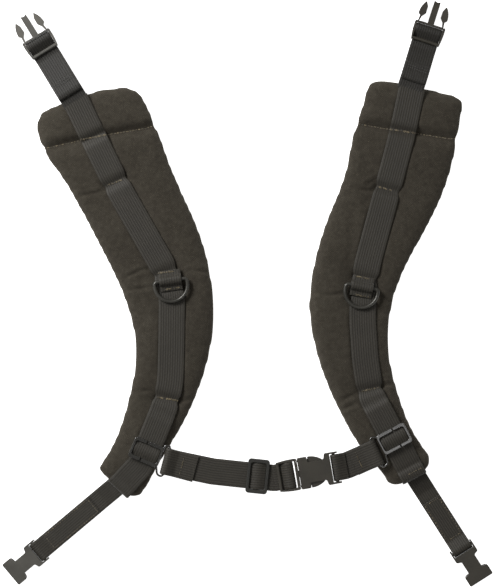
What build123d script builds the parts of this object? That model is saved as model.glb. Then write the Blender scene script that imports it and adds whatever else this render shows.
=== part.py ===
from build123d import *
import os
from math import cos, hypot, radians, sin

os.makedirs("parts", exist_ok=True)

# Padded shoulder harness, laid out flat. Millimetres, +Z up, +Y towards the shoulder end.

# ---- driving dimensions -------------------------------------------------------------------
PAD_T = 12.0          # padded strap, floor to top face
COVER_T = 1.0         # knitted cover and lining
WIDE = 25.0           # webbing on the pads and across the chest
NARROW = 20.0         # webbing at the lower ends
WEB_T = 1.5
LAYER = WEB_T + 0.1   # pitch of two webbing layers lying on each other
BAR_R = 1.6           # bars that webbing is folded round
CLEAR = 0.35          # running clearance between a bar and its webbing
LOOP_R = BAR_R + CLEAR + WEB_T / 2    # centreline radius of a webbing loop
MID_Z = LOOP_R + WEB_T / 2            # bar centre above the underside of its webbing
REST_Z = 0.55         # underside of the webbing above the floor at the floor buckles
CHEST_Z = PAD_T + 0.3                 # underside of the chest strap
RAISE = 2.4           # webbing stands this high off the pad where a slider runs on it

# male buckle halves: length of the webbing frame, its front wall, and the wrapped bar from the rear
SHOULDER_MALE = dict(length=18.6, wall=1.8, wrap=13.0)
CHEST_MALE = dict(length=20.3, wall=2.9, wrap=12.0)
RAIL_IN = WIDE / 2 + CLEAR            # inner faces of every frame on the wide webbing
FRAME_W = 30.0                        # outside width of those frames
ARM_V = 12.1          # root of a latch arm, off the buckle centreline
ARM_U = 0.3           # and in front of the frame
ARM_R = 0.8           # half thickness of the arm
RING_WIRE = 1.7       # D-ring wire radius
LOOP_WIRE = 1.0       # arms of the slider's side loop

# ---- layout: both sides, plan positions in millimetres ---------------------------------------
SIDES = {
    "left": dict(
        outline=[[(-97, 187), (-84, 158), (-68.5, 116.5), (-45, 64), (-31.5, 13), (-30.5, -40),
                  (-42, -86), (-60, -126), (-82.5, -163.5), (-94, -185)],
                 [(-94, -185), (-101, -193), (-110, -194), (-140, -168)],
                 [(-140, -168), (-124, -141.5), (-109.5, -97.5), (-103.5, -51.5), (-115, -1.5),
                  (-147, 64), (-178.5, 118.5), (-192, 138), (-198, 165)],
                 [(-198, 165), (-193.5, 175.5), (-162, 188), (-135.5, 197), (-114, 198.5),
                  (-102, 194.5), (-97, 187)]],
        face=[(-162, 187.5), (-144, 150), (-122, 105), (-77, 26), (-69, 2), (-69.5, -50),
              (-70.5, -84), (-76, -108)],
        shoulder=(-164.2, 189.3), strap_turn=121.6, strap_len=50.8, hem_len=14.0,
        slider=(-93.5, -150.5), slider_up=67.0, slider_gap=2.4, tail_turn=227.0, tail_len=32.0,
        ring=(-70.5, 13.5), ring_turn=8.0,
        tacks=[(-124, 107.2, 22), (-72.5, -100.5, -9)],
        chest_bar=(-74.4, -159.8), chest_turn=-15.0, chest_side=1,
        lower=(-125.5, -186.5), lower_turn=220.0, lower_len=129.0),
    "right": dict(
        outline=[[(139, -181.5), (126.5, -163.5), (108.5, -141.5), (96, -120.5), (79.5, -86),
                  (68, -51.5), (62.5, -20), (67, 29.5), (81.5, 75.5), (99, 121.5), (106, 156),
                  (114, 180), (118.5, 197)],
                 [(118.5, 197), (122.5, 204), (132.5, 205.5), (149, 202.5), (173, 197.5),
                  (197, 191.5), (207, 189), (209.5, 183)],
                 [(209.5, 183), (205.5, 156), (195, 110), (174.5, 64), (146, 6), (138, -45.5),
                  (148, -97.5), (162, -132), (178.5, -156)],
                 [(178.5, -156), (175.5, -168), (151.5, -181.5), (146, -184.5), (139, -181.5)]],
        face=[(161.3, 198.7), (152, 155), (138, 102), (118, 28), (114, 5), (113.5, -25),
              (116, -62), (121, -95.6)],
        shoulder=(160.8, 201.7), strap_turn=72.3, strap_len=42.4, hem_len=12.6,
        slider=(143.5, -138.0), slider_up=118.0, slider_gap=-2.6, tail_turn=298.0, tail_len=29.0,
        ring=(113.2, 7.5), ring_turn=-11.0,
        tacks=[(134.8, 101.5, -16), (121.3, -91.3, 12)],
        chest_bar=(126.5, -151.5), chest_turn=204.3, chest_side=-1,
        lower=(166.8, -177.6), lower_turn=302.5, lower_len=114.5),
}
CHEST_RUN = [(-30, -169.5), (28, -175.7)]    # straight part of the chest strap
GLIDE_TURN = -6.1
GLIDE_U = 43.3                      # tri-glide along that run
MALE_REAR = (32.4, -175.1)
BUCKLE_TURN = 9.7
MOUTH_GAP = 0.4                     # male frame to the mouth of the female half when latched

# female buckle halves, measured from the mouth; mouth, waist and ear are half widths
CHEST_FEMALE = dict(mouth=15.1, shoulder=8.0, neck=9.6, waist=9.8, ear=15.3, plate=31.3,
                    overall=39.0, bar=35.1)
LOWER_FEMALE = dict(mouth=12.6, shoulder=8.5, neck=11.3, waist=7.2, ear=12.0, plate=31.0,
                    overall=38.6, bar=34.8)


# ---- helpers ---------------------------------------------------------------------------------
def at(shape, x, y, z=0.0, turn=0.0):
    return Pos(x, y, z) * Rot(0, 0, turn) * shape


def out(start, turn, distance):
    return (start[0] + distance * cos(radians(turn)), start[1] + distance * sin(radians(turn)))


def local(point, origin, turn):
    dx, dy = point[0] - origin[0], point[1] - origin[1]
    return (dx * cos(radians(turn)) + dy * sin(radians(turn)),
            dy * cos(radians(turn)) - dx * sin(radians(turn)))


def block(x0, x1, y0, y1, z0, z1):
    return Pos((x0 + x1) / 2, (y0 + y1) / 2, (z0 + z1) / 2) * Box(x1 - x0, y1 - y0, z1 - z0)


def prism(lines, z0, z1):
    return Pos(0, 0, z0) * extrude(make_face(lines), z1 - z0)


def side_band(lines, width):
    """Webbing from its centreline seen from the side: X along the strap, Y of the line is height."""
    band = trace(lines, WEB_T)
    return extrude(Plane.XZ * band, width / 2, both=True)


def flat_band(points, width, z0, z1):
    return Pos(0, 0, z0) * extrude(trace(Polyline(*points), width), z1 - z0)


def turn_round(u, z, forward=1):
    """Half turn of webbing round a bar at (u, z), from below the bar to above it."""
    return ThreePointArc((u, z - LOOP_R), (u + forward * LOOP_R, z), (u, z + LOOP_R))


def bar_across(u, z, width, radius=BAR_R):
    return Pos(u, 0, z) * Rot(90, 0, 0) * Cylinder(radius, width)


# ---- padded strap ----------------------------------------------------------------------------
def pad_outline(side, inset, corner):
    """Outline of the padded strap, clockwise: curved and straight runs in turn, drawn inset."""
    ring = [point for run in side["outline"] for point in run[:-1]]
    moved = {}
    for i, (x, y) in enumerate(ring):
        before, after = ring[i - 1], ring[(i + 1) % len(ring)]
        dx, dy = after[0] - before[0], after[1] - before[1]
        moved[(x, y)] = (x + inset * dy / hypot(dx, dy), y - inset * dx / hypot(dx, dy))
    runs = [[moved[point] for point in run] for run in side["outline"]]
    face = make_face(Spline(*runs[0]) + Polyline(*runs[1]) + Spline(*runs[2]) + Polyline(*runs[3]))
    sharp = [v for v in face.vertices()
             if any(hypot(v.X - x, v.Y - y) < 0.1 for run in (runs[1], runs[3]) for x, y in run)]
    return fillet(sharp, corner)


def cushion(side, inset, corner, rim):
    """Rounded slab over the inset outline, as far inside the faces as inside the edge."""
    slab = extrude(pad_outline(side, inset, corner), PAD_T - 2 * inset)
    faces = slab.faces().sort_by(Axis.Z)
    return Pos(0, 0, inset) * fillet(faces[0].edges() + faces[-1].edges(), rim)


def pad_parts(side):
    body = cushion(side, 0.0, 4.0, 3.5)
    foam = cushion(side, COVER_T, 3.2, 2.5)
    shell = body - foam
    return {"pad_foam": foam,
            "pad_cover": split(shell, Plane.XY.offset(PAD_T / 2), keep=Keep.TOP),
            "pad_lining": split(shell, Plane.XY.offset(PAD_T / 2), keep=Keep.BOTTOM)}


def face_webbing(side):
    """Face webbing: flat down the pad, raised and straight where the slider runs, folded at the foot."""
    run = flat_band(side["face"], WIDE, PAD_T, PAD_T + WEB_T)
    z = PAD_T + WEB_T / 2
    down = side["slider_up"] + 180
    start = local(side["face"][-1], side["slider"], down)[0]
    straight = 14.0
    rise = Polyline((start - 3, z), (start + 1, z), (start + 9, z + RAISE), (straight, z + RAISE))
    travel = at(side_band(rise, WIDE), *side["slider"], 0, down)
    knee = out(side["slider"], down, straight)
    fold = Polyline((0, z + RAISE), (8, z + RAISE), (14, z + 0.3), (side["tail_len"] - 3, z + 0.3),
                    (side["tail_len"], z - 2), (side["tail_len"], 5.5))
    foot = at(side_band(fold, WIDE), *knee, 0, side["tail_turn"])
    patch = at(Pos(0, 0, z + RAISE) * Cylinder(WIDE / 2, WEB_T), *knee)
    patch -= at(block(-WIDE, -3, -WIDE, WIDE, 0, 2 * PAD_T), *knee, 0, down)
    return run + travel + foot + patch


def bar_tack():
    return block(-7.5, 7.5, -1, 1, 0, 0.5)


def ring_band(side):
    """Short webbing band sewn down on both sides of the D-ring bar."""
    z = WEB_T / 2
    high = RING_WIRE + CLEAR + 0.3 + RING_WIRE + CLEAR + z
    line = Polyline((-9.8, z), (-4.2, z), (-2.2, high), (2.2, high), (4.2, z), (9.8, z))
    band = side_band(line, WIDE)
    return at(band, *side["ring"], PAD_T + WEB_T, side["ring_turn"] - 90)


def d_ring(side):
    """Welded wire D: straight bar along local X, round bow hanging towards -Y."""
    half, corner, drop = 15.8, 3.0, 4.5
    path = Line((corner - half, 0), (half - corner, 0))
    path += CenterArc((half - corner, -corner), corner, 90, -90)
    path += Line((half, -corner), (half, -drop)) + CenterArc((0, -drop), half, 0, -180)
    path += Line((-half, -drop), (-half, -corner))
    path += CenterArc((corner - half, -corner), corner, 180, -90)
    ring = Part()
    for edge in path.edges():
        ring += sweep(Plane(origin=edge @ 0, z_dir=edge % 0) * Circle(RING_WIRE), edge)
    return at(ring, *side["ring"], ring_height(), side["ring_turn"])


def ring_height():
    return PAD_T + WEB_T + CLEAR + 0.3 + RING_WIRE


# ---- sternum slider --------------------------------------------------------------------------
def slider_frame(length, across, end_bar):
    """Frame threaded on webbing: X along the webbing, middle bar under it, end bars over it."""
    low, over = 0.3, RAISE + WEB_T + CLEAR
    rim = RectangleRounded(length, across, 3.0)
    rim -= RectangleRounded(length - 2 * end_bar, 2 * RAIL_IN, 2.2)
    frame = Pos(0, 0, low) * extrude(rim, over + 1.95 - low)
    frame = fillet(frame.edges().group_by(Axis.Z)[-1], 0.6)
    frame -= block(-length, length, -RAIL_IN, RAIL_IN, low - 1, over)
    return frame + block(-2, 2, -RAIL_IN - 0.5, RAIL_IN + 0.5, low, RAISE - 0.3)


def loop_arm(side, s):
    """Arm of the side loop, s = +1 or -1: from the frame's corner round to the end of the bar."""
    inwards = side["slider_up"] - 90 * side["chest_side"]
    along = side["chest_turn"] + 90 * s * side["chest_side"]
    points = [out(out(side["slider"], side["slider_up"], s * 8.8), inwards, 13.9)]
    for reach, back in ((14.4, 4.4), (14.9, 1.6), (13.0, 0)):
        points.append(out(out(side["chest_bar"], along, reach), side["chest_turn"] + 180, back))
    leave = (points[1][0] - points[0][0], points[1][1] - points[0][1])
    line = Spline(*points, tangents=[leave, out((0, 0), along, -1)])
    return sweep(Plane(origin=line @ 0, z_dir=line % 0) * Circle(LOOP_WIRE), line)


def sternum_slider(side):
    """Slider with its side loop: the loop bar carries the end of the chest strap."""
    length, end_bar = 21.0, 3.4
    frame = slider_frame(length, FRAME_W, end_bar)
    top, gap = RAISE + WEB_T + CLEAR + 1.95, side["slider_gap"]
    frame -= block(-length, length, gap - 0.75, gap + 0.75, RAISE + WEB_T, top + 1)
    for i in range(-6, 7):
        groove = 1.9 * i
        if abs(groove - gap) > 1.6:
            frame -= block(length / 2 - end_bar - 0.1, length / 2 + 1, groove - 0.3, groove + 0.3,
                           top - 0.35, top + 1)
    frame = at(frame, *side["slider"], PAD_T, side["slider_up"])
    mid = CHEST_Z + MID_Z
    for s in (1, -1):
        frame += Pos(0, 0, mid) * loop_arm(side, s)
    return frame + at(bar_across(0, 0, 27), *side["chest_bar"], mid, side["chest_turn"])


# ---- side-release buckles --------------------------------------------------------------------
def male_frame(length, wall, wrap, prong_length):
    """Webbing frame and guide prong. X runs forward from the rear edge, Z = 0 at mid height."""
    side = Spline((0, 13.8), (0.5 * length, 15.0), (length - 2, 15.1))
    side += ThreePointArc((length - 2, 15.1), (length - 0.5, 14.6), (length, 13.2))
    side += Polyline((length, 13.2), (length, 0), (0, 0), (0, 13.8))
    half = prism(side, -3.0, 3.0)
    frame = half + mirror(half, Plane.XZ)
    frame -= block(-1, length - wall, -RAIL_IN, RAIL_IN, -5, 5)
    rear = block(0, 2.9, -RAIL_IN - 0.5, RAIL_IN + 0.5, -0.1, 2.8)
    frame += chamfer(rear.edges().filter_by(Axis.Y).sort_by(Axis.Z)[-2:], 0.8)
    frame += bar_across(wrap, 0, 2 * RAIL_IN + 1)
    tip = length + prong_length
    prong = block(length - 1, tip, -3.1, 3.1, -1.5, 1.5)
    frame += prong - Pos(tip + 2.6, 0, 0) * Cylinder(3.6, 4)
    for s in (-1, 1):
        frame -= Pos(length + ARM_U, s * ARM_V, 0) * Cylinder(ARM_R + CLEAR, 8)
    return frame


def latch_arm(stem, barb, hook, slant, s):
    """Sprung arm with its kite-shaped barb, s = +1 or -1 for the side. Hinge axis at the origin."""
    heel, tip = (stem, hook), (stem + barb, -2.2)
    lines = Polyline((0, ARM_R), (stem - slant, 0.2), heel)
    lines += ThreePointArc(heel, (stem + 0.52 * barb, 0.6 * hook), tip)
    lines += Polyline(tip, (stem + 0.62 * barb, -4.6), (stem + 1.4, -4.7), (stem - 2.4, -1.7),
                      (0, -ARM_R), (0, ARM_R))
    face = make_face(lines)
    face = fillet([v for v in face.vertices() if v.X > 1], 0.5)
    arm = Pos(0, 0, -2.0) * extrude(face, 4.0) + Cylinder(ARM_R, 4.0)
    return arm if s > 0 else mirror(arm, Plane.XZ)


def female_body(mouth, shoulder, neck, waist, ear, plate, overall, bar):
    """Female half. X runs from the mouth to the webbing end, Z = 0 at mid height."""
    side = Polyline((plate, 0), (0, 0), (0, mouth - 0.8), (0.8, mouth), (shoulder, mouth))
    side += Spline((shoulder, mouth), (neck, waist), tangents=[(1, 0), (0.3, -1)])
    side += Line((neck, waist), (plate - 7.5, waist))
    side += Spline((plate - 7.5, waist), (plate - 5.6, (waist + ear) / 2), (plate - 3.4, ear),
                   tangents=[(1, 0.1), (1, 0)])
    side += Polyline((plate - 3.4, ear), (plate, ear), (plate, 0))
    half = prism(side, -4.0, 4.0)
    body = half + mirror(half, Plane.XZ)
    body -= block(-1, 24.5, 1.8 - mouth, mouth - 1.8, -2.6, 2.6)
    for s in (-1, 1):
        body += block(plate - 1, overall, s * ear - (1.6 if s > 0 else 0),
                      s * ear + (1.6 if s < 0 else 0), -2.4, 2.4)
    return body + bar_across(bar, 0, 2 * ear - 1)


def upper_webbing(side):
    """Shoulder end webbing: down from the pad, round the buckle bar and back, hemmed end on top."""
    start_z = PAD_T + 0.3 + WEB_T / 2
    wrap = side["strap_len"] + SHOULDER_MALE["wrap"]
    low, bar_z = REST_Z + WEB_T / 2, REST_Z + MID_Z
    toe = side["strap_len"] - 6
    slope = (start_z - low) / (toe - 7)
    standing = Polyline((0, start_z), (7, start_z), (toe, low), (wrap, low))
    back = Polyline((wrap, bar_z + LOOP_R), (wrap - 2.6, bar_z + LOOP_R), (toe + 9.6, low + LAYER),
                    (toe, low + LAYER), (7, start_z + LAYER), (3.5, start_z + LAYER))
    hem_end = 7 + side["hem_len"]
    hem = Polyline((3.5, start_z + 2 * LAYER), (7, start_z + 2 * LAYER),
                   (hem_end, start_z + 2 * LAYER - slope * side["hem_len"]))
    turn = Polyline((3.7, start_z + LAYER), (3.7, start_z + 2 * LAYER))
    body = side_band(standing, WIDE) + side_band(turn_round(wrap, bar_z), WIDE) + side_band(back, WIDE)
    body += side_band(hem, WIDE) + side_band(turn, WIDE)
    body += Pos(0, 0, start_z) * Rot(90, 0, 0) * Cylinder(WEB_T / 2, WIDE)
    return at(body, *side["shoulder"], 0, side["strap_turn"])


def lower_webbing(side):
    """Foot end webbing: from the pad round the buckle bar and back, sewn down on itself."""
    start_z = 4.5
    wrap = side["lower_len"] - LOWER_FEMALE["bar"]
    low, bar_z = REST_Z + WEB_T / 2, REST_Z + MID_Z
    standing = Polyline((0, start_z), (3, start_z), (14, low), (wrap, low))
    back = Polyline((wrap, bar_z + LOOP_R), (wrap - 2, bar_z + LOOP_R), (wrap - 12, low + LAYER),
                    (24, low + LAYER))
    body = side_band(standing, NARROW) + side_band(turn_round(wrap, bar_z), NARROW)
    body += side_band(back, NARROW)
    body += Pos(0, 0, start_z) * Rot(90, 0, 0) * Cylinder(WEB_T / 2, NARROW)
    return at(body, *side["lower"], 0, side["lower_turn"])


def chest_loop(low_len, tail_len):
    """Sewn loop end of the chest strap: X away from the bar, Z = 0 at the underside."""
    low = WEB_T / 2
    body = side_band(Polyline((0, low), (low_len, low)), WIDE)
    body += side_band(turn_round(0, MID_Z, -1), WIDE)
    back = Polyline((0, MID_Z + LOOP_R), (2, MID_Z + LOOP_R), (10, low + LAYER), (tail_len, low + LAYER))
    return body + side_band(back, WIDE)


def male_chest_loop():
    low, wrap = WEB_T / 2, CHEST_MALE["wrap"]
    body = side_band(Polyline((-4, low), (wrap, low)), WIDE) + side_band(turn_round(wrap, MID_Z), WIDE)
    back = Polyline((wrap, MID_Z + LOOP_R), (wrap - 2.6, MID_Z + LOOP_R), (3.6, low + LAYER),
                    (-4, low + LAYER))
    return body + side_band(back, WIDE)


# ---- assembly --------------------------------------------------------------------------------
nodes = {}
for name, side in SIDES.items():
    for part, shape in pad_parts(side).items():
        nodes[f"{part}_{name}"] = shape
    nodes[f"face_webbing_{name}"] = face_webbing(side)
    nodes[f"d_ring_loop_{name}"] = ring_band(side)
    nodes[f"d_ring_{name}"] = d_ring(side)

    tacks = [at(bar_tack(), x, y, PAD_T + WEB_T, turn) for x, y, turn in side["tacks"]]
    for reach in (8.2, -8.2):
        foot = out(side["ring"], side["ring_turn"] + 90, reach)
        tacks.append(at(bar_tack(), *foot, PAD_T + 2 * WEB_T, side["ring_turn"]))
    nodes[f"bar_tacks_{name}"] = Compound(children=tacks)

    nodes[f"sternum_slider_{name}"] = sternum_slider(side)

    nodes[f"upper_webbing_{name}"] = upper_webbing(side)
    rear = out(side["shoulder"], side["strap_turn"], side["strap_len"])
    buckle_z = REST_Z + MID_Z
    nodes[f"upper_buckle_body_{name}"] = at(
        male_frame(**SHOULDER_MALE, prong_length=22.8), *rear, buckle_z, side["strap_turn"])
    outer_sign = 1 if name == "left" else -1
    for label, s in (("outer", outer_sign), ("inner", -outer_sign)):
        arm = Pos(SHOULDER_MALE["length"] + ARM_U, s * ARM_V, 0) * latch_arm(6.9, 13.1, 2.3, 1.8, s)
        nodes[f"upper_latch_{label}_{name}"] = at(arm, *rear, buckle_z, side["strap_turn"])

    nodes[f"lower_webbing_{name}"] = lower_webbing(side)
    mouth = out(side["lower"], side["lower_turn"], side["lower_len"])
    socket = at(female_body(**LOWER_FEMALE), *mouth, buckle_z, side["lower_turn"] + 180)
    nodes[f"lower_buckle_{name}"] = socket

chest_mid = CHEST_Z + MID_Z
female_mouth = out(MALE_REAR, BUCKLE_TURN, CHEST_MALE["length"] + MOUTH_GAP)
female = at(female_body(**CHEST_FEMALE), *female_mouth, chest_mid, BUCKLE_TURN)
nodes["sternum_female_buckle"] = female
male = at(male_frame(**CHEST_MALE, prong_length=20.0), *MALE_REAR, chest_mid, BUCKLE_TURN)
nodes["sternum_male_body"] = male
for label, s in (("upper", 1), ("lower", -1)):
    arm = Pos(CHEST_MALE["length"] + ARM_U, s * ARM_V, 0) * latch_arm(10.3, 14.0, 2.9, 0.5, s)
    nodes[f"sternum_latch_{label}"] = at(arm, *MALE_REAR, chest_mid, BUCKLE_TURN)

left, right = SIDES["left"], SIDES["right"]
strap = at(chest_loop(16, 29), *left["chest_bar"], CHEST_Z, left["chest_turn"])
strap += flat_band([out(left["chest_bar"], left["chest_turn"], 8), *CHEST_RUN,
                    out(MALE_REAR, BUCKLE_TURN, 1)], WIDE, CHEST_Z, CHEST_Z + WEB_T)
strap += at(male_chest_loop(), *MALE_REAR, CHEST_Z, BUCKLE_TURN)
nodes["sternum_webbing_left"] = strap

bar = out(female_mouth, BUCKLE_TURN, CHEST_FEMALE["bar"])
bend = out(bar, BUCKLE_TURN, 11.0)
strap = at(chest_loop(6, 12), *right["chest_bar"], CHEST_Z, right["chest_turn"])
strap += at(chest_loop(4, 10.2), *bar, CHEST_Z, BUCKLE_TURN)
for z0 in (CHEST_Z, CHEST_Z + LAYER):
    ends = (3, 3) if z0 == CHEST_Z else (9.9, 10)
    strap += flat_band([out(bar, BUCKLE_TURN, ends[0]), bend,
                        out(right["chest_bar"], right["chest_turn"], ends[1])], WIDE, z0, z0 + WEB_T)
nodes["sternum_webbing_right"] = strap

glide = slider_frame(20.9, 33.0, 3.0)
glide_centre = out(CHEST_RUN[0], GLIDE_TURN, GLIDE_U)
nodes["tri_glide"] = at(glide, *glide_centre, CHEST_Z - RAISE, GLIDE_TURN)

# ---- origin: middle of the footprint, lowest point on the floor ---------------------------------
boxes = [shape.bounding_box() for shape in nodes.values()]
low = [min(getattr(b.min, axis) for b in boxes) for axis in "XYZ"]
high = [max(getattr(b.max, axis) for b in boxes) for axis in "XYZ"]
shift = (-(low[0] + high[0]) / 2, -(low[1] + high[1]) / 2, -low[2])
for name, shape in nodes.items():
    export_step(Pos(*shift) * shape, f"parts/{name}.step")
    print(f"{name:28s} solids {len(shape.solids())} volume {shape.volume:10.1f}")
print("shift", [round(v, 3) for v in shift])
print("size", [round(b - a, 2) for a, b in zip(low, high)], "nodes", len(nodes))
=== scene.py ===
"""Padded shoulder harness laid out flat: soft pieces, materials, light and camera round the CAD."""
import math
import random

import bpy
import numpy as np
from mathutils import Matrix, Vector
from mathutils.bvhtree import BVHTree


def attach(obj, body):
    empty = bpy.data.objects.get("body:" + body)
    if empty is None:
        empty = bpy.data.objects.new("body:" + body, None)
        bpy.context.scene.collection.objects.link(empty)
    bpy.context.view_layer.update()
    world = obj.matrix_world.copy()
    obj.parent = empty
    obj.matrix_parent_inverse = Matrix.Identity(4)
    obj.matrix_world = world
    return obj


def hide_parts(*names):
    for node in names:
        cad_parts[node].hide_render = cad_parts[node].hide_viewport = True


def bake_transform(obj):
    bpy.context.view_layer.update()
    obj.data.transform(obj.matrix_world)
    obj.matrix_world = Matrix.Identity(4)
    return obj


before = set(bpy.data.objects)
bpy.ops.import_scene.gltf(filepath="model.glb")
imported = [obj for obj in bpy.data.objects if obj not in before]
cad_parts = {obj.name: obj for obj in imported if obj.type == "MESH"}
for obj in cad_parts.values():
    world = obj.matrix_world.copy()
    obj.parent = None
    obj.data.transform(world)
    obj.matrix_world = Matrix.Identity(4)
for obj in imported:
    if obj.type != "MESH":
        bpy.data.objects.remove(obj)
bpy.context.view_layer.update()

# ---- layout, in millimetres: the CAD source's, but for what the comments say ----------------------
SHIFT = np.array([-3.307, -0.984, 0.0])     # layout to model frame
PAD_T = 12.0
WIDE, NARROW = 25.4, 20.0                   # wide webbing drawn 0.4 over its CAD width, to fill its slots
WEB_T = 1.5
LAYER = WEB_T + 0.1
WIDE_RIBS, NARROW_RIBS = 11, 9
LOOP_R = 2.7                                # centreline of webbing round a bar
MID_Z = LOOP_R + WEB_T / 2
LOOP_SLACK = 0.3                            # what softening the corners takes off a loop
FRONT_SLACK = 1.3                           # more of it at the front of the chest male half
REST_Z = 0.55
CHEST_Z = PAD_T + 0.3
RAISE = 2.4                                 # face webbing over the middle bar of a slider
RAISED_MID, RAISED_HALF = -14.0, 19.0       # middle and half length of that run, downhill of the slider
RAISED_FALL = 4.0                           # and how far it takes to come down again
STRAIGHT = 14.0                             # from a slider to where its webbing turns to the foot
RING_WIRE = 1.7                             # radius of a D-ring's wire
HINGE_Z = 4.5                               # a lower strap where it comes out from under the foot
SHOULDER_WRAP, CHEST_WRAP = 13.0, 12.0      # wrapped bar of a male half, from its rear edge
LOWER_BAR = 34.8                            # webbing bar of a lower female half, from its mouth
FEMALE_BAR_U = 55.8                         # and of the chest female half, from the male half's rear
BUCKLE_TURN = 9.7
CHEST_RUN = [(-30, -169.5), (28, -175.7)]
MALE_REAR = (32.4, -175.1)
GLIDE_AT = (13.05, -174.1)
GLIDE_TURN = -6.1

SIDES = {
    "left": dict(
        face=[(-162, 187.5), (-144, 150), (-122, 105), (-77, 26), (-69, 2), (-69.5, -50),
              (-70.5, -84), (-76, -108)],
        shoulder=(-164.2, 189.3), strap_turn=121.6, strap_len=50.8, hem_len=14.0,
        slider=(-93.5, -150.5), slider_up=67.0, tail_turn=227.0, tail_len=32.0,
        ring=(-70.5, 13.5), ring_turn=8.0,
        seam=[(-193, 140), (-187, 141), (-156.5, 148), (-131, 153.5), (-94, 159.5), (-85.5, 162.5)],
        tacks=[[(-131, 104.5), (-116.5, 110)], [(-82.5, 20.2), (-67, 22.4)],
               [(-75, 4.8), (-61, 6.8)], [(-83, -98.5), (-62.5, -102)]],
        chest_bar=(-74.4, -159.8), chest_turn=-15.0, loop_tail=29,
        lower=(-125.5, -186.5), lower_turn=220.0, lower_len=129.0,
        creases=[[(-51, 23.5), (-31.5, 20.6)], [(-115, 15.3), (-97, 23.8), (-87.4, 23.8)],
                 [(-115, 3.4), (-91.6, 6.6)], [(-117, 120), (-108.9, 108.3)],
                 [(-135.6, 99), (-161.3, 93.2)], [(-105, -92), (-87, -93)],
                 [(-58, -103), (-48, -99)]]),
    "right": dict(
        face=[(161.3, 198.7), (152, 155), (138, 102), (118, 28), (114, 5), (113.5, -25),
              (116, -62), (121, -95.6)],
        shoulder=(160.8, 201.7), strap_turn=72.3, strap_len=42.4, hem_len=12.6,
        slider=(143.5, -138.0), slider_up=118.0, tail_turn=298.0, tail_len=29.0,
        ring=(113.2, 7.5), ring_turn=-11.0,
        seam=[(106.5, 164.5), (119, 162), (142, 158), (159.5, 155.5), (197, 149.5), (206.5, 150)],
        tacks=[[(127.5, 103.5), (142, 99.5)], [(107, 17.5), (121.5, 14.7)],
               [(105.5, 0.2), (120, -2.6)], [(113, -93), (130.5, -89)]],
        foot_row=[(157.5, -172.5), (171.5, -165.5)],
        chest_bar=(126.5, -151.5), chest_turn=204.3, loop_tail=24,
        lower=(166.8, -177.6), lower_turn=302.5, lower_len=114.5,
        creases=[[(96.7, 105.9), (110.4, 100), (124, 99)], [(118, 106), (126, 110)],
                 [(148.6, 99), (167.2, 85.3)], [(66, 2.4), (80, -1.4), (95, 1.2)],
                 [(128.3, 1.2), (135.7, -3), (142.3, -9.4)], [(92.9, -102), (106.5, -95.6)],
                 [(94.5, -110.8), (106.5, -105.1)], [(131.9, -86.9), (143, -86)]]),
}
random.seed(7)


# ---- small geometry helpers --------------------------------------------------------------------
def out(start, turn, distance, aside=0.0):
    a = math.radians(turn)
    return (start[0] + distance * math.cos(a) - aside * math.sin(a),
            start[1] + distance * math.sin(a) + aside * math.cos(a))


FEMALE_BAR_AT = out(MALE_REAR, BUCKLE_TURN, FEMALE_BAR_U)


def unit(v):
    return v / np.maximum(np.linalg.norm(v, axis=-1, keepdims=True), 1e-9)


def lengths(points):
    steps = np.linalg.norm(np.diff(points, axis=0), axis=1)
    return np.concatenate([[0], np.cumsum(steps)])


def sampled(points, pitch, soften=0.0):
    """Points along a line at an even pitch, its corners softened over a distance."""
    points = np.asarray(points, float)
    s = lengths(points)
    grid = np.linspace(0, s[-1], max(3, int(s[-1] / pitch) + 1))
    line = np.stack([np.interp(grid, s, points[:, k]) for k in range(points.shape[1])], axis=1)
    if soften:
        reach = max(1, int(soften / pitch))
        ends = line[0], line[-1]
        for _ in range(3):
            padded = np.concatenate([[2 * line[0] - p for p in line[reach:0:-1]], line,
                                     [2 * line[-1] - p for p in line[-2:-reach - 2:-1]]])
            line = np.stack([np.convolve(padded[:, k], np.ones(2 * reach + 1) / (2 * reach + 1), "valid")
                             for k in range(line.shape[1])], axis=1)
        line[0], line[-1] = ends
    return line


def evened(rows, reach):
    """Each column as a running mean over so many rows on either side."""
    window = np.ones(2 * reach + 1) / (2 * reach + 1)
    padded = [np.pad(column, reach, "edge") for column in rows.T]
    return np.stack([np.convolve(column, window, "valid") for column in padded], axis=1)


def distance_to(points, line):
    """Distance in plan from each of the points to a polyline."""
    points, line = np.asarray(points, float)[:, :2], np.asarray(line, float)[:, :2]
    best = np.full(len(points), 1e9)
    for a, b in zip(line[:-1], line[1:]):
        t = np.clip((points - a) @ (b - a) / max(float((b - a) @ (b - a)), 1e-9), 0, 1)
        best = np.minimum(best, np.linalg.norm(points - a - t[:, None] * (b - a), axis=1))
    return best


def add_mesh(name, verts, faces, material, uvs=None):
    """A smooth object from layout points in millimetres."""
    mesh = bpy.data.meshes.new(name)
    mesh.from_pydata(((np.asarray(verts, float) + SHIFT) / 1000).tolist(), [], faces)
    mesh.polygons.foreach_set("use_smooth", [True] * len(mesh.polygons))
    if uvs is not None:
        layer = mesh.uv_layers.new(name="UVMap")
        loops = np.zeros(len(mesh.loops), np.int32)
        mesh.loops.foreach_get("vertex_index", loops)
        layer.data.foreach_set("uv", np.asarray(uvs, np.float32)[loops].ravel())
    mesh.materials.append(material)
    mesh.update()
    obj = bpy.data.objects.new(name, mesh)
    bpy.context.scene.collection.objects.link(obj)
    return obj


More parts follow.
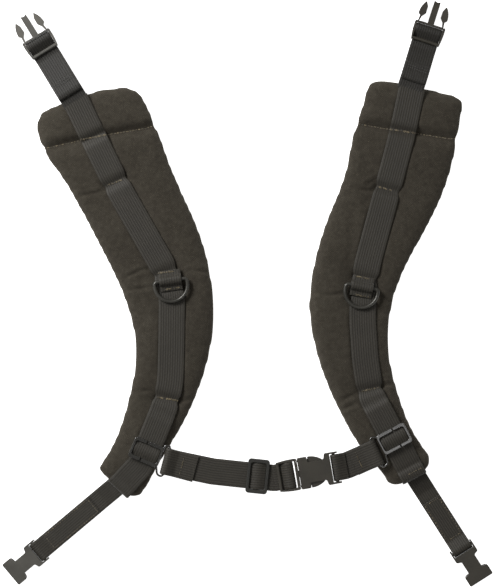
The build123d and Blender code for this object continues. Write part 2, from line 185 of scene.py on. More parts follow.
def strip(name, centre, across, material, width=WIDE, ribs=WIDE_RIBS, thick=WEB_T, start=0.0,
          pinch=None, rib_height=0.08):
    """Ribbed webbing along centre. across is the direction over its width, one or one a point."""
    centre = np.asarray(centre, float)
    tangent = unit(np.gradient(centre, axis=0))
    side = np.broadcast_to(np.asarray(across, float), centre.shape)
    side = unit(side - tangent * np.sum(side * tangent, axis=1, keepdims=True))
    up = np.cross(tangent, side)
    v = np.linspace(-0.5, 0.5, ribs * 4 + 1)
    edge = np.sqrt(np.clip((0.5 - np.abs(v)) / 0.035, 0, 1))
    groove = 0.5 + 0.5 * np.cos(2 * np.pi * ribs * v)
    height = thick / 2 * (0.3 + 0.7 * edge) - rib_height * groove * edge
    ring_v = np.concatenate([v, v[::-1]])
    ring_h = np.concatenate([height, -height[::-1]])
    widths = width * (np.ones(len(centre)) if pinch is None else np.asarray(pinch))
    verts = (centre[:, None] + side[:, None] * (widths[:, None] * ring_v)[..., None]
             + up[:, None] * ring_h[None, :, None])
    n, m, half = len(centre), len(ring_v), len(v)
    faces = [(i * m + j, i * m + (j + 1) % m, (i + 1) * m + (j + 1) % m, (i + 1) * m + j)
             for i in range(n - 1) for j in range(m)]
    for row, flip in ((0, True), ((n - 1) * m, False)):
        for j in range(half - 1):
            quad = (row + j, row + j + 1, row + m - 2 - j, row + m - 1 - j)
            faces.append(quad if not flip else quad[::-1])
    along = lengths(centre) + start
    uvs = np.stack([np.tile((ring_v + 0.5) * ribs, n), np.repeat(along, m)], axis=1)
    return add_mesh(name, verts.reshape(-1, 3), faces, material, uvs)


def profile(origin, turn, line, pitch=1.0, soften=1.5):
    """Centreline of a strap from its side view, (along, height) pairs, laid out from origin."""
    line = sampled(line, pitch, soften)
    a = math.radians(turn)
    return np.stack([origin[0] + line[:, 0] * math.cos(a), origin[1] + line[:, 0] * math.sin(a),
                     line[:, 1]], axis=1)


def sideways(turn):
    a = math.radians(turn)
    return np.array([-math.sin(a), math.cos(a), 0.0])


def half_turn(u, z, forward=1, slack=LOOP_SLACK, steps=9):
    """Webbing round a bar at (u, z), from below the bar to above it."""
    return [(u + forward * (LOOP_R + slack) * math.cos(a), z + LOOP_R * math.sin(a))
            for a in np.linspace(-math.pi / 2, math.pi / 2, steps)]


def mirrored(rising, *middle):
    """A side view from its right half, outermost point first, repeated on the left."""
    return [*((-u, z) for u, z in rising), *middle, *rising[::-1]]


def tubes(name, paths, radius, material, sides=6):
    """Short lengths of thread, one tube a path, rounded off at both ends."""
    verts, faces = [], []
    for path in paths:
        path = np.asarray(path, float)
        tangent = unit(np.gradient(path, axis=0))
        a = unit(np.cross(tangent, [0, 0, 1.0]) + 1e-6)
        b = np.cross(tangent, a)
        round_off = np.sin(np.linspace(0.12, math.pi - 0.12, len(path))) * 1.6
        size = radius * np.sqrt(np.clip(round_off, 0, 1))
        base = len(verts)
        for p, u, w, r in zip(path, a, b, size):
            for k in range(sides):
                t = 2 * math.pi * k / sides
                verts.append(p + r * (math.cos(t) * u + math.sin(t) * w))
        for i in range(len(path) - 1):
            for k in range(sides):
                q = base + i * sides
                faces.append((q + k, q + (k + 1) % sides, q + sides + (k + 1) % sides, q + sides + k))
        faces.append(tuple(base + k for k in range(sides))[::-1])
        faces.append(tuple(base + (len(path) - 1) * sides + k for k in range(sides)))
    return add_mesh(name, verts, faces, material)


# ---- materials ---------------------------------------------------------------------------------
YARN_PITCH = 0.00125        # ridges of the knit, in metres
PICK_PITCH = 1.3            # crosswise picks of the webbing, in millimetres


class Shader:
    """A Principled material, and short calls that add nodes to it."""

    def __init__(self, name, **sockets):
        self.material = bpy.data.materials.new(name)
        self.material.use_nodes = True
        self.tree = self.material.node_tree
        self.bsdf = self.tree.nodes["Principled BSDF"]
        for socket, value in sockets.items():
            self.bsdf.inputs[socket.replace("_", " ")].default_value = value

    def node(self, kind, links=(), **settings):
        node = self.tree.nodes.new(kind)
        for key, value in settings.items():
            setattr(node, key, value)
        for key, value in dict(links).items():
            self.put(node.inputs[key], value)
        return node

    def put(self, socket, value):
        if isinstance(value, bpy.types.NodeSocket):
            self.tree.links.new(value, socket)
        else:
            socket.default_value = value

    def math(self, operation, a, b=0.0, clamp=False):
        return self.node("ShaderNodeMath", {0: a, 1: b}, operation=operation, use_clamp=clamp).outputs[0]

    def noise(self, vector, scale, detail=2.0, rough=0.5):
        return self.node("ShaderNodeTexNoise", {"Vector": vector, "Scale": scale, "Detail": detail,
                                                "Roughness": rough}).outputs["Fac"]

    def ramp(self, factor, stops):
        node = self.node("ShaderNodeValToRGB", {"Fac": factor})
        while len(node.color_ramp.elements) < len(stops):
            node.color_ramp.elements.new(0.5)
        for element, (position, colour) in zip(node.color_ramp.elements, stops):
            element.position = position
            element.color = (*colour, 1)
        return node.outputs["Color"]

    def mix(self, factor, a, b, mode="MIX"):
        node = self.node("ShaderNodeMix", {}, data_type="RGBA", blend_type=mode)
        for socket, value in zip((node.inputs[0], node.inputs[6], node.inputs[7]), (factor, a, b)):
            self.put(socket, value if not isinstance(value, tuple) else (*value, 1))
        return node.outputs[2]

    def stretch(self, value, low, high, to_low, to_high):
        return self.node("ShaderNodeMapRange", {"Value": value, "From Min": low, "From Max": high,
                                                "To Min": to_low, "To Max": to_high}).outputs[0]

    def place(self):
        return self.node("ShaderNodeTexCoord").outputs["Object"]

    def bump(self, height, distance, strength=1.0, normal=None):
        links = {"Height": height, "Distance": distance, "Strength": strength}
        if normal is not None:
            links["Normal"] = normal
        return self.node("ShaderNodeBump", links).outputs["Normal"]


def knit_material():
    """Dark knitted pad cover: fine diagonal yarns, mottled, with a scatter of lighter fibres."""
    s = Shader("knit_cover", Roughness=0.92, Sheen_Weight=0.25, Sheen_Roughness=0.45,
               Sheen_Tint=(0.75, 0.68, 0.55, 1), Specular_IOR_Level=0.25)
    where = s.place()
    x, y, _ = s.node("ShaderNodeSeparateXYZ", {0: where}).outputs[:3]
    wobble = s.math("MULTIPLY", s.noise(where, 160), 0.0012)
    ridge = []
    for a, b in ((0.78, 0.62), (-0.6, 0.8)):
        across = s.math("ADD", s.math("MULTIPLY", x, a), s.math("MULTIPLY", y, b))
        across = s.math("ADD", across, wobble)
        ridge.append(s.math("SINE", s.math("MULTIPLY", across, 2 * math.pi / YARN_PITCH)))
    crossing = s.math("ADD", s.math("MULTIPLY", ridge[1], 0.35), 0.65)
    yarn = s.math("MULTIPLY", s.math("ADD", ridge[0], 1.0), crossing)
    fibre = s.noise(where, 1100, 2)
    mottle = s.noise(where, 210, 3)
    patch = s.noise(where, 22, 2)
    tone = s.math("ADD", s.math("MULTIPLY", yarn, 0.14), s.math("MULTIPLY", fibre, 0.34))
    broad = s.math("ADD", s.math("MULTIPLY", mottle, 0.42), s.math("MULTIPLY", patch, 0.22))
    tone = s.math("ADD", tone, broad)
    colour = s.ramp(tone, [(0.34, (0.015, 0.012, 0.0085)), (0.6, (0.031, 0.0262, 0.0188)),
                           (0.86, (0.055, 0.049, 0.038))])
    speck = s.stretch(s.noise(where, 1500, 1), 0.66, 0.74, 0.0, 0.5)
    s.put(s.bsdf.inputs["Base Color"], s.mix(speck, colour, (0.135, 0.115, 0.08)))
    height = s.math("ADD", s.math("MULTIPLY", yarn, 0.5), s.math("MULTIPLY", fibre, 0.8))
    first = s.bump(s.math("ADD", mottle, patch), 0.0006, 0.5)
    s.put(s.bsdf.inputs["Normal"], s.bump(height, 0.00022, 0.8, first))
    return s.material


def webbing_material(name, dark, light):
    """Woven webbing. U counts its ribs, V runs along it in millimetres."""
    s = Shader(name, Roughness=0.62, Sheen_Weight=0.12, Sheen_Roughness=0.4, Specular_IOR_Level=0.35)
    uv = s.node("ShaderNodeUVMap", {}, uv_map="UVMap").outputs["UV"]
    u, v, _ = s.node("ShaderNodeSeparateXYZ", {0: uv}).outputs[:3]
    groove = s.math("COSINE", s.math("MULTIPLY", u, 2 * math.pi))
    rib = s.stretch(groove, 0.45, 1.0, 1.0, 0.0)
    phase = s.math("MULTIPLY", s.math("FLOOR", u), math.pi)
    pick = s.math("SINE", s.math("ADD", s.math("MULTIPLY", v, 2 * math.pi / PICK_PITCH), phase))
    where = s.place()
    fibre = s.noise(where, 1300, 2)
    shade = s.noise(where, 55, 2)
    weave = s.math("MULTIPLY", s.math("ADD", s.math("MULTIPLY", pick, 0.5), 0.5), rib)
    # ribs coloured lighter and the grooves between them darker: partly the weave's own pattern, partly
    # painted shade in the grooves
    tone = s.math("ADD", s.math("MULTIPLY", weave, 0.30), s.math("MULTIPLY", rib, 0.30))
    broad = s.math("ADD", s.math("MULTIPLY", fibre, 0.25), s.math("MULTIPLY", shade, 0.25))
    tone = s.math("ADD", tone, broad)
    mid = tuple((a + b) / 2 for a, b in zip(dark, light))
    s.put(s.bsdf.inputs["Base Color"], s.ramp(tone, [(0.18, tuple(0.6 * c for c in dark)), (0.45, dark),
                                                     (0.68, mid), (0.92, light)]))
    height = s.math("ADD", s.math("MULTIPLY", rib, 0.7),
                    s.math("ADD", s.math("MULTIPLY", weave, 0.7), s.math("MULTIPLY", fibre, 0.3)))
    s.put(s.bsdf.inputs["Normal"], s.bump(height, 0.00016, 0.8))
    return s.material


def thread_material(name, dark, mid, light):
    s = Shader(name, Roughness=0.55, Sheen_Weight=0.2)
    where = s.place()
    coarse, fine = s.noise(where, 420, 1), s.noise(where, 2600)
    tone = s.math("ADD", s.math("MULTIPLY", coarse, 0.7), s.math("MULTIPLY", fine, 0.3))
    s.put(s.bsdf.inputs["Base Color"], s.ramp(tone, [(0.36, dark), (0.5, mid), (0.68, light)]))
    s.put(s.bsdf.inputs["Normal"], s.bump(s.noise(where, 5200, 1), 0.0001, 0.7))
    return s.material


def moulded_material(name, colour, rough, grain=0.5, metallic=0.0, coat=0.0, edge=0.00035):
    """Moulded or painted hardware: a fine grain, handling marks and edges rubbed paler."""
    s = Shader(name, Metallic=metallic, Coat_Weight=coat, Coat_Roughness=0.12)
    where = s.place()
    cloud = s.noise(where, 60, 3)
    fine = s.noise(where, 2400, 2)
    soft_normal = s.node("ShaderNodeBevel", {"Radius": edge}, samples=4).outputs[0]
    hard_normal = s.node("ShaderNodeNewGeometry").outputs["Normal"]
    compared = s.node("ShaderNodeVectorMath", {0: soft_normal, 1: hard_normal}, operation="DOT_PRODUCT")
    at_edge = s.stretch(compared.outputs["Value"], 0.98, 0.80, 0.0, 1.0)
    rubbed = s.math("MULTIPLY", at_edge, s.stretch(cloud, 0.35, 0.65, 0.25, 0.9))
    dark, pale = tuple(0.8 * c for c in colour), tuple(1.2 * c for c in colour)
    base = s.ramp(s.math("ADD", s.math("MULTIPLY", cloud, 0.7), s.math("MULTIPLY", fine, 0.3)),
                  [(0.35, dark), (0.65, pale)])
    s.put(s.bsdf.inputs["Base Color"], s.mix(rubbed, base, tuple(1.9 * c + 0.008 for c in colour)))
    s.put(s.bsdf.inputs["Roughness"], s.stretch(s.math("ADD", cloud, s.math("MULTIPLY", fine, 0.4)),
                                                0.5, 0.95, rough - 0.07, rough + 0.09))
    s.put(s.bsdf.inputs["Normal"], s.bump(fine, 0.00006, grain, soft_normal))
    return s.material


KNIT = knit_material()
WEBBING = webbing_material("webbing", (0.0150, 0.0130, 0.0092), (0.036, 0.0315, 0.0235))
# a darker copy of the webbing for the shoulder straps: painted shade, standing in for less light falling
# on them
SHADED_SHOULDER_WEBBING = webbing_material("webbing_shoulder_painted_shade",
                                    (0.0072, 0.0064, 0.0046), (0.0185, 0.0162, 0.0122))
THREAD = thread_material("thread", (0.018, 0.015, 0.010), (0.10, 0.078, 0.042), (0.26, 0.205, 0.115))
DARK_THREAD = thread_material("dark_thread",
                              (0.006, 0.006, 0.005), (0.016, 0.015, 0.012), (0.034, 0.031, 0.025))
BUCKLE = moulded_material("buckle_plastic", (0.027, 0.0235, 0.0170), 0.42, 0.5)
# paler copies of the buckle plastic: painted highlight, standing in for glare of the key light on the
# left buckle pieces
BUCKLE_BRIGHT_HIGHLIGHT = moulded_material("buckle_plastic_painted_bright_highlight", (0.085, 0.080, 0.068), 0.48, 0.5)
BUCKLE_HIGHLIGHT = moulded_material("buckle_plastic_painted_highlight", (0.060, 0.057, 0.049), 0.46, 0.5)
SLIDER = moulded_material("slider_gloss", (0.012, 0.0108, 0.0082), 0.2, 0.25, coat=0.8)
GLIDE = moulded_material("tri_glide_plastic", (0.014, 0.0135, 0.011), 0.4, 0.4)
RING = moulded_material("ring_enamel", (0.040, 0.038, 0.032), 0.36, 0.35, metallic=0.35)


# ---- padded straps -----------------------------------------------------------------------------
EDGE_GROWTH = 1.9           # the cover over the foam, and what smoothing takes off the edge
SEAM_DIP = 4.6              # how far the stitching draws the pad in
TACK_DIPS = (3.2, 2.4, 1.8, 3.0)
WEB_SEAM_DIP = 3.6          # and how far the webbing on it goes down with it
WEB_TACK_DIPS = (2.8, 1.8, 1.0, 2.6)
SEAM_NOTCH = 2.2            # how far a seam pulls the pad's edge in at its ends
VOXEL = 0.004               # remeshed foam, in metres
CLOTH_FRAMES = 20
PRESSURE = 4.0              # inside the cover while the cloth settles
MOST_BLOWN = 0.0022         # furthest the cloth may move a vertex, in metres


def foot_line(side):
    """Plan line of the face webbing on the pad, to where it turns to the foot."""
    down = side["slider_up"] + 180
    knee = out(side["slider"], down, STRAIGHT)
    return [*side["face"], out(side["slider"], down, -STRAIGHT), knee]


def dips(side, plan):
    """How far the stitching pulls the pad's top face down at each plan point."""
    gap = distance_to(plan, side["seam"])
    seam = SEAM_DIP * np.exp(-(gap / 4.2) ** 2)
    seam_x, seam_y = np.array(side["seam"], float).T
    shoulder_side = plan[:, 1] > np.interp(plan[:, 0], seam_x, seam_y)
    seam -= shoulder_side * 1.3 * np.exp(-((gap - 8.0) / 4.5) ** 2)
    tacks = sum(d * np.exp(-(distance_to(plan, line) / 6.0) ** 2)
                for line, d in zip(side["tacks"], TACK_DIPS))
    ends = np.array([end for line in side["tacks"] for end in line], float)
    nearest = np.min(np.linalg.norm(plan[:, None, :2] - ends[None], axis=2), axis=1)
    return seam + np.minimum(tacks, 3.4) + 1.2 * np.exp(-(nearest / 3.2) ** 2)


def under(side, plan):
    """Height of the underside of the face webbing at each plan point of its line."""
    gap = distance_to(plan, side["seam"])
    height = PAD_T + 0.05 - WEB_SEAM_DIP * np.exp(-(gap / 4.0) ** 2)
    for line, depth in zip(side["tacks"], WEB_TACK_DIPS):
        height -= depth * np.exp(-(distance_to(plan, line) / 4.5) ** 2)
    return height


def pad(name, side):
    """Sewn cover over foam: the CAD foam, remeshed, drawn in at its stitching and blown up as cloth."""
    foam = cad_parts[f"pad_foam_{name}"]
    obj = foam.copy()
    obj.data = foam.data.copy()
    obj.name = obj.data.name = f"pad_{name}"
    for key in list(obj.keys()):
        del obj[key]
    obj.parent = None
    obj.hide_render = obj.hide_viewport = False
    bpy.context.scene.collection.objects.link(obj)
    bpy.context.view_layer.objects.active = obj
    walls = [p.vertices[:] for p in foam.data.polygons if abs(p.normal.z) < 0.3]
    wall = BVHTree.FromPolygons([v.co for v in foam.data.vertices], walls)

    # an even mesh of the foam
    remesh = obj.modifiers.new("remesh", "REMESH")
    remesh.mode, remesh.voxel_size = "VOXEL", VOXEL
    apply_modifiers(obj)

    # the edge grown outwards, the top crowned, rounded at the rim and drawn in by the stitching
    co = read(obj)
    nearest = [wall.find_nearest(Vector((x, y, PAD_T / 2000))) for x, y in co[:, :2]]
    rim = np.array([hit[3] for hit in nearest]) * 1000
    outwards = unit(np.array([hit[1][:2] for hit in nearest], float))
    mm = co * 1000 - SHIFT
    mm[:, :2] += outwards * (EDGE_GROWTH * np.exp(-(rim / 7) ** 2))[:, None]
    top = np.clip((mm[:, 2] - 5.5) / 5.5, 0, 1)
    crown = 0.5 * (1 - np.exp(-rim / 22)) - 2.8 * (1 - np.clip(rim / 8.5, 0, 1)) ** 2.2
    mm[:, 2] += top * (crown - dips(side, mm) * np.clip(rim / 5, 0.55, 1))
    low = np.clip((3.5 - mm[:, 2]) / 2.5, 0, 1)
    mm[:, 2] -= low * 0.6
    for end, inner in ((side["seam"][0], side["seam"][1]), (side["seam"][-1], side["seam"][-2])):
        inwards = unit(np.array([inner], float) - np.array([end], float))
        reach = np.linalg.norm(mm[:, :2] - np.array(end, float), axis=1, keepdims=True)
        mm[:, :2] += inwards * SEAM_NOTCH * np.exp(-(reach / 4.5) ** 2)
    base = (mm + SHIFT) / 1000
    write(obj, base)

    # blown up as cloth, held along the stitching and underneath
    pinned = obj.vertex_groups.new(name="pinned")
    sewn = np.minimum(distance_to(mm, side["seam"]),
                      np.min([distance_to(mm, t) for t in side["tacks"]], axis=0))
    hold = np.maximum((mm[:, 2] < 2.0) * 1.0, np.clip((5.0 - sewn) / 3.0, 0, 1) * (mm[:, 2] > 4))
    for i, w in enumerate(hold):
        if w > 0.01:
            pinned.add([i], float(w), "REPLACE")
    cloth = obj.modifiers.new("cloth", "CLOTH")
    cloth.settings.use_pressure = True
    cloth.settings.uniform_pressure_force = PRESSURE
    cloth.settings.effector_weights.gravity = 0.0
    cloth.settings.vertex_group_mass = "pinned"
    cloth.settings.tension_stiffness = cloth.settings.compression_stiffness = 12.0
    cloth.settings.bending_stiffness = 0.4
    cloth.settings.quality = 6
    cloth.point_cache.frame_start, cloth.point_cache.frame_end = 1, CLOTH_FRAMES
    for f in range(1, CLOTH_FRAMES + 1):
        bpy.context.scene.frame_set(f)
    apply_modifiers(obj)
    bpy.context.scene.frame_set(1)
    moved = read(obj) - base
    size = np.linalg.norm(moved, axis=1, keepdims=True)
    write(obj, base + moved * np.minimum(1, MOST_BLOWN / np.maximum(size, 1e-9)))
    bpy.context.view_layer.objects.active = obj
    smooth = obj.modifiers.new("smooth", "SMOOTH")
    smooth.factor, smooth.iterations = 0.5, 2
    fine = obj.modifiers.new("fine", "SUBSURF")
    fine.levels = fine.render_levels = 2
    apply_modifiers(obj)

    # creases, and a sharper valley along the seam and the tacks
    mm = read(obj) * 1000 - SHIFT
    upper = np.clip((mm[:, 2] - 6.0) / 3.0, 0, 1)
    web = distance_to(mm, foot_line(side))
    for crease in side["creases"]:
        line = sampled(crease, 2.0)
        run = distance_to(mm, line)
        ends = np.minimum(np.linalg.norm(mm[:, :2] - line[0], axis=1),
                          np.linalg.norm(mm[:, :2] - line[-1], axis=1))
        fold = 0.9 * np.exp(-(run / 1.6) ** 2) - 0.35 * np.exp(-((run - 4.0) / 2.2) ** 2)
        mm[:, 2] -= upper * fold * np.clip(0.35 + ends / 8, 0, 1)
    gap = distance_to(mm, side["seam"])
    mm[:, 2] -= upper * (0.9 * np.exp(-(gap / 1.1) ** 2) + 1.6 * np.exp(-(gap / 3.6) ** 2))
    for line in side["tacks"]:
        mm[:, 2] -= upper * 1.4 * np.exp(-(distance_to(mm, line) / 4.0) ** 2)
    # the top kept below the webbing that lies on it
    near = web < WIDE / 2 + 4
    floor = np.full(len(mm), 1e3)
    floor[near] = under(side, mm[near]) - 0.25
    ease = np.clip((WIDE / 2 + 2.0 - web) / 2.5, 0, 1)
    over = np.maximum(mm[:, 2] - floor, 0) * ease
    mm[:, 2] -= over * (mm[:, 2] > 5)
    mm[:, 2] = np.maximum(mm[:, 2], 0.0)
    write(obj, (mm + SHIFT) / 1000)
    obj.data.materials.clear()
    obj.data.materials.append(KNIT)
    obj.data.polygons.foreach_set("use_smooth", [True] * len(obj.data.polygons))
    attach(obj, f"pad_{name}")
    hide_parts(f"pad_foam_{name}", f"pad_cover_{name}", f"pad_lining_{name}")
    return obj


def read(obj):
    co = np.zeros(len(obj.data.vertices) * 3, np.float32)
    obj.data.vertices.foreach_get("co", co)
    return co.reshape(-1, 3).astype(float)


def write(obj, co):
    obj.data.vertices.foreach_set("co", np.asarray(co, np.float32).ravel())
    obj.data.update()


def apply_modifiers(obj):
    """The evaluated mesh becomes the object's own."""
    depsgraph = bpy.context.evaluated_depsgraph_get()
    mesh = bpy.data.meshes.new_from_object(obj.evaluated_get(depsgraph))
    obj.modifiers.clear()
    obj.data = mesh


def surface(*objs):
    """A function giving the height in millimetres of the highest of these pieces at a layout point."""
    trees = []
    for obj in objs:
        corners = [v.co for v in obj.data.vertices]
        trees.append(BVHTree.FromPolygons(corners, [p.vertices[:] for p in obj.data.polygons]))

    def height(x, y):
        start = Vector(((x + SHIFT[0]) / 1000, (y + SHIFT[1]) / 1000, 0.1))
        hits = [tree.ray_cast(start, Vector((0, 0, -1)))[0] for tree in trees]
        found = [h.z * 1000 for h in hits if h is not None]
        return max(found) if found else 0.0

    return height


def stitches(name, lines, height, radius=0.34, pitch=3.0, length=2.4, jitter=0.12, material=THREAD):
    """Rows of stitches lying on a surface, dipping in at both ends of each stitch."""
    paths = []
    for line in lines:
        line = sampled(line, 0.3)
        s = lengths(line)
        for start in np.arange(0.3, s[-1] - length, pitch):
            at = start + np.linspace(0, length * random.uniform(0.85, 1.1), 6)
            x = np.interp(at, s, line[:, 0]) + random.uniform(-jitter, jitter)
            y = np.interp(at, s, line[:, 1]) + random.uniform(-jitter, jitter)
            lift = radius * (np.sin(np.linspace(0.1, math.pi - 0.1, 6)) - 0.25)
            paths.append([(a, b, height(a, b) + c) for a, b, c in zip(x, y, lift)])
    return tubes(name, paths, radius, material)


def zigzag(name, lines, height, wide=2.0, pitch=0.75, radius=0.26):
    """Bar tacks: dense zigzag stitching along short lines."""
    paths = []
    for a, b in lines:
        a, b = np.array(a, float), np.array(b, float)
        run = unit((b - a)[None])[0]
        side = np.array([-run[1], run[0]])
        count = int(np.linalg.norm(b - a) / pitch)
        for k in range(count):
            if random.random() < 0.1:
                continue
            p = a + run * (k * pitch) + side * (wide / 2 * random.uniform(0.7, 1.1))
            q = a + run * ((k + 0.5) * pitch) - side * (wide / 2 * random.uniform(0.7, 1.1))
            pts = [p + (q - p) * t for t in np.linspace(0, 1, 5)]
            lift = radius * (np.sin(np.linspace(0.1, math.pi - 0.1, 5)) + 0.2)
            paths.append([(x, y, height(x, y) + c) for (x, y), c in zip(pts, lift)])
    return tubes(name, paths, radius, THREAD)


# ---- pads with their webbing, ring band and stitching ------------------------------------------
for name, side in SIDES.items():
    body = f"pad_{name}"
    cushion = pad(name, side)
    down = side["slider_up"] + 180

    # face webbing: down the pad, raised where the slider runs on it, down to the foot and folded under
    under_slider = out(side["slider"], down, -STRAIGHT), out(side["slider"], down, 9.0)
    plan = sampled([*side["face"], *under_slider], 1.0, 5.0)
    z = under(side, plan) + WEB_T / 2
    downhill = np.array([math.cos(math.radians(down)), math.sin(math.radians(down))])
    along = (plan - np.array(side["slider"])) @ downhill
    past = np.maximum(np.abs(along - RAISED_MID) - RAISED_HALF, 0)
    z += RAISE * np.exp(-(past / RAISED_FALL) ** 2)
    knee = out(side["slider"], down, STRAIGHT)
    tail_at = [2.0, 6.0, *(side["tail_len"] - u for u in (15.0, 11.8, 9.2, 6.0, 2.5, 0.4))]
    tail = [out(knee, side["tail_turn"], t) for t in tail_at]
    tail_z = [PAD_T + rise for rise in (0.9, 0.7, 0.2, -0.7, 0.8, 1.0, 0.9, 0.0)]
    centre = np.concatenate([np.column_stack([plan, z]),
                             np.column_stack([tail, tail_z]),
                             [(*out(knee, side["tail_turn"], side["tail_len"] + 0.2), PAD_T - 2.4)],
                             [(*out(knee, side["tail_turn"], side["tail_len"] + 0.2), 5.8)]])
    centre = sampled(centre, 0.9, 1.6)
    flat = np.diff(centre[:, :2], axis=0, append=centre[-1:, :2] * 2 - centre[-2:-1, :2])
    heading = np.stack([np.cos(np.radians(side["tail_turn"])) * np.ones(len(centre)),
                        np.sin(np.radians(side["tail_turn"])) * np.ones(len(centre))], axis=1)
    firm = np.linalg.norm(flat, axis=1) > 0.55
    heading[firm] = flat[firm]
    heading = unit(evened(heading, 4))
    across = np.column_stack([-heading[:, 1], heading[:, 0], np.zeros(len(heading))])
    tight = np.min([distance_to(centre, t) for t in side["tacks"]], axis=0)
    pinch = 1 - 0.13 * np.exp(-(tight / 4.0) ** 2)
    web = strip(f"face_webbing_{name}_woven", centre, across, WEBBING, pinch=pinch)
    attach(web, body)
    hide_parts(f"face_webbing_{name}")

    # band over the D-ring bar
    low = PAD_T + 1.5 * WEB_T
    peak = PAD_T + WEB_T + 0.65 + 2 * RING_WIRE + 0.35 + WEB_T / 2
    hump = mirrored([(9.8, low - 0.9), (4.6, low - 0.3), (2.9, peak - 0.9), (1.4, peak)])
    turn = side["ring_turn"] - 90
    band = strip(f"ring_band_{name}_woven", profile(side["ring"], turn, hump, 0.5, 0.7),
                 sideways(turn), WEBBING, width=21.5, ribs=9)
    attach(band, body)
    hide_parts(f"d_ring_loop_{name}")

    # stitching on the pad
    height = surface(cushion, web, band)
    tacks = zigzag(f"bar_tacks_{name}_thread", side["tacks"], height)
    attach(tacks, body)
    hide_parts(f"bar_tacks_{name}")
    seam = stitches(f"seam_stitches_{name}", [side["seam"]], height)
    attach(seam, body)
    crossing = [p for p in sampled(side["seam"], 0.5) if distance_to([p], side["face"])[0] < 12]
    if "foot_row" in side:
        foot = stitches(f"foot_stitches_{name}", [side["foot_row"]], height, radius=0.28,
                        pitch=2.4, length=1.8)
        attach(foot, body)
    double = zigzag(f"seam_tack_{name}", [(crossing[0], crossing[-1])], height, wide=2.2)
    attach(double, body)

    # shoulder strap: from the pad down to the buckle bar, round it and back, hemmed end on top
    start_z = PAD_T + 0.3 + WEB_T / 2
    wrap = side["strap_len"] + SHOULDER_WRAP
    low, bar_z = REST_Z + WEB_T / 2, REST_Z + MID_Z
    toe = side["strap_len"] - 6
    slope = (start_z - low) / (toe - 7)
    turn = side["strap_turn"]
    line = [(-7, start_z - 0.4), (0, start_z), (7, start_z), (toe, low), (wrap, low),
            *half_turn(wrap, bar_z), (wrap - 2.6, bar_z + LOOP_R), (toe + 9.6, low + LAYER),
            (toe, low + LAYER), (7, start_z + LAYER), (3.4, start_z + LAYER)]
    hem_top = 7 + side["hem_len"]
    line += [(2.4, start_z + 1.5 * LAYER), (3.4, start_z + 2 * LAYER), (7, start_z + 2 * LAYER),
             (hem_top, start_z + 2 * LAYER - slope * side["hem_len"])]
    strap = strip(f"shoulder_webbing_{name}_woven", profile(side["shoulder"], turn, line, 0.6, 0.8),
                  sideways(turn), SHADED_SHOULDER_WEBBING)
    hem_height = surface(strap)
    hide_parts(f"upper_webbing_{name}")
    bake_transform(strap)
    rows = [[out(side["shoulder"], turn, u, v) for v in (-10.5, 10.5)]
            for u in (hem_top - 3, hem_top - 5.5)]
    hem = stitches(f"shoulder_hem_{name}", rows, hem_height, radius=0.28, pitch=2.2, length=1.7,
                   material=DARK_THREAD)
    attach(hem, f"shoulder_strap_{name}")

    # lower strap: out from under the foot, round the buckle bar and back, sewn down on itself
    wrap = side["lower_len"] - LOWER_BAR
    turn = side["lower_turn"]
    line = [(-9, HINGE_Z + 0.4), (0, HINGE_Z), (3, HINGE_Z), (14, low), (wrap, low),
            *half_turn(wrap, bar_z), (wrap - 2, bar_z + LOOP_R), (wrap - 12, low + LAYER),
            (24, low + LAYER)]
    strap = strip(f"lower_webbing_{name}_woven", profile(side["lower"], turn, line, 0.6, 0.9),
                  sideways(turn), WEBBING, width=NARROW, ribs=NARROW_RIBS)
    lower_height = surface(strap)
    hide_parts(f"lower_webbing_{name}")
    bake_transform(strap)
    far = wrap - 14
    corners = [(26, -7.8), (far, -7.8), (far, 7.8), (26, 7.8), (26, -7.8)]
    rows = [[out(side["lower"], turn, u, v) for u, v in row] for row in zip(corners, corners[1:])]
    sewing = stitches(f"lower_box_stitch_{name}", rows, lower_height, radius=0.24, pitch=3.0, length=2.0)
    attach(sewing, f"lower_strap_{name}")

# ---- chest strap -------------------------------------------------------------------------------
left, right = SIDES["left"], SIDES["right"]
low, mid = CHEST_Z + WEB_T / 2, CHEST_Z + MID_Z


def loop_end(origin, turn, reach, tail):
    """The strap comes in below a bar, goes round it, and its end lies back on top."""
    back = [(tail, low + LAYER), (10, low + LAYER), (2, mid + LOOP_R),
            *half_turn(0, mid, -1)[::-1], (reach, low)]
    return profile(origin, turn, back, 0.6, 0.9)


def joined(*runs):
    """Several runs in one line, evenly sampled and softened a little where they meet."""
    return sampled(np.concatenate(runs), 0.5, 0.5)


start = loop_end(left["chest_bar"], left["chest_turn"], 8, left["loop_tail"])
end_line = [(-4, low), (CHEST_WRAP, low), *half_turn(CHEST_WRAP, mid, slack=FRONT_SLACK),
            (CHEST_WRAP - 2.6, mid + LOOP_R), (3.6, low + LAYER), (-4, low + LAYER)]
end = profile(MALE_REAR, BUCKLE_TURN, end_line, 0.6, 0.8)
middle = np.array([(*p, low) for p in CHEST_RUN])
line = joined(start, middle, end)
near_left = np.clip((line[:, 0] + 32) / 14, 0, 1)[:, None]
near_male = np.clip((line[:, 0] - 26) / 5, 0, 1)[:, None]
across = sideways(left["chest_turn"]) * (1 - near_left) + sideways(GLIDE_TURN) * near_left
across = across * (1 - near_male) + sideways(BUCKLE_TURN) * near_male
chest_left = strip("chest_webbing_left_woven", line, across, WEBBING)
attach(chest_left, "chest_left")
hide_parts("sternum_webbing_left")

bend = out(FEMALE_BAR_AT, BUCKLE_TURN, 11)
start = loop_end(FEMALE_BAR_AT, BUCKLE_TURN, 6, 11)
end = loop_end(right["chest_bar"], right["chest_turn"], 6, right["loop_tail"])[::-1]
line = joined(start, np.array([(*bend, low)]), end)
past = np.clip((line[:, 0] - bend[0] + 6) / 12, 0, 1)[:, None]
across = sideways(BUCKLE_TURN) * (1 - past) + sideways(right["chest_turn"] - 180) * past
chest_right = strip("chest_webbing_right_woven", line, across, WEBBING)
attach(chest_right, "chest_right")
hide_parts("sternum_webbing_right")

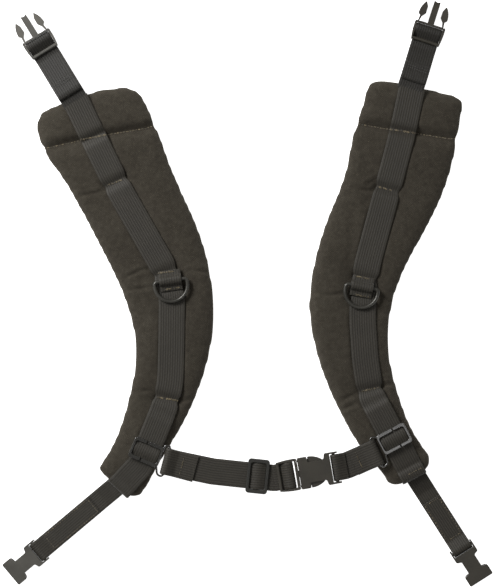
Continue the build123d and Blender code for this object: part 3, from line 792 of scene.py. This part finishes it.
for name, web, u in (("left", chest_left, 15.5), ("right", chest_right, 18)):
    side, body = SIDES[name], f"chest_{name}"
    row = [[out(side["chest_bar"], side["chest_turn"], u, v) for v in (-8.5, 8.5)]]
    sewn = zigzag(f"chest_tack_{name}", row, surface(web), wide=1.2, pitch=1.1)
    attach(sewn, body)

# ---- webbing seen through the windows of the sliders and the tri-glide ---------------------------
HUMPS = [("slider_left", left["slider"], left["slider_up"], PAD_T + RAISE + WEB_T),
         ("slider_right", right["slider"], right["slider_up"], PAD_T + RAISE + WEB_T),
         ("tri_glide", GLIDE_AT, GLIDE_TURN, CHEST_Z + WEB_T)]
for body, place, turn, z in HUMPS:
    arch = mirrored([(7.4, z - 0.5), (5.5, z - 0.1), (2.5, z + 0.75)], (0, z + 1.0))
    hump = strip(f"{body}_webbing_hump", profile(place, turn, arch, 0.5, 0.8), sideways(turn), WEBBING,
                 thick=1.0)
    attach(hump, body)

# ---- hardware: CAD shapes in moulded plastic and enamel -----------------------------------------
# the left buckle pieces take the paler plastic copies: painted highlight
FINISHES = [("d_ring", RING), ("sternum_slider", SLIDER), ("tri_glide", GLIDE),
            ("lower_buckle_left", BUCKLE_HIGHLIGHT), ("upper_buckle_body_left", BUCKLE_HIGHLIGHT),
            ("upper_latch_inner_left", BUCKLE_BRIGHT_HIGHLIGHT), ("upper_latch_outer_left", BUCKLE_BRIGHT_HIGHLIGHT)]
for name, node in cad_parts.items():
    if node.hide_render:
        continue
    finish = next((material for start, material in FINISHES if name.startswith(start)), BUCKLE)
    node.data.materials.clear()
    node.data.materials.append(finish)

# ---- floor, light, camera ----------------------------------------------------------------------
floor_shader = Shader("floor", Roughness=0.9, Base_Color=(0.93, 0.93, 0.925, 1), Specular_IOR_Level=0.1,
                      Emission_Color=(1, 1, 1, 1), Emission_Strength=0.95)
floor_mesh = bpy.data.meshes.new("floor")
floor_mesh.from_pydata([(-6, -6, 0), (6, -6, 0), (6, 6, 0), (-6, 6, 0)], [], [(0, 1, 2, 3)])
floor_mesh.materials.append(floor_shader.material)
floor = bpy.data.objects.new("floor", floor_mesh)
floor.location.z = -0.0006
bpy.context.scene.collection.objects.link(floor)

world = bpy.data.worlds.new("studio")
world.use_nodes = True
world.node_tree.nodes["Background"].inputs["Color"].default_value = (1.0, 0.99, 0.97, 1)
world.node_tree.nodes["Background"].inputs["Strength"].default_value = 0.36
bpy.context.scene.world = world


def softbox(name, place, size, power):
    lamp = bpy.data.lights.new(name, "AREA")
    lamp.shape, lamp.size, lamp.energy = "SQUARE", size, power
    obj = bpy.data.objects.new(name, lamp)
    obj.location = place
    obj.rotation_mode = "QUATERNION"
    obj.rotation_quaternion = (-Vector(place)).to_track_quat("-Z", "Y")
    bpy.context.scene.collection.objects.link(obj)


softbox("key", (-1.35, 1.1, 1.35), 0.8, 62)
softbox("window", (0.33, -0.36, 2.4), 0.35, 1.2)

VIEW_WIDE = 0.4742          # metres seen across the picture at the middle height of the harness
VIEW_ASPECT = 588 / 494     # height of the picture over its width
VIEW_CENTRE = (-0.00046, -0.00056)
MIDDLE_HEIGHT = 0.008
CAMERA_HEIGHT = 2.4
camera = bpy.data.cameras.new("camera")
view = bpy.data.objects.new("camera", camera)
camera.sensor_width = 36
camera.lens = camera.sensor_width * (CAMERA_HEIGHT - MIDDLE_HEIGHT) / (VIEW_WIDE * VIEW_ASPECT)
view.location = (*VIEW_CENTRE, CAMERA_HEIGHT)
bpy.context.scene.collection.objects.link(view)
bpy.context.scene.camera = view
bpy.context.scene.view_settings.view_transform = "Standard"
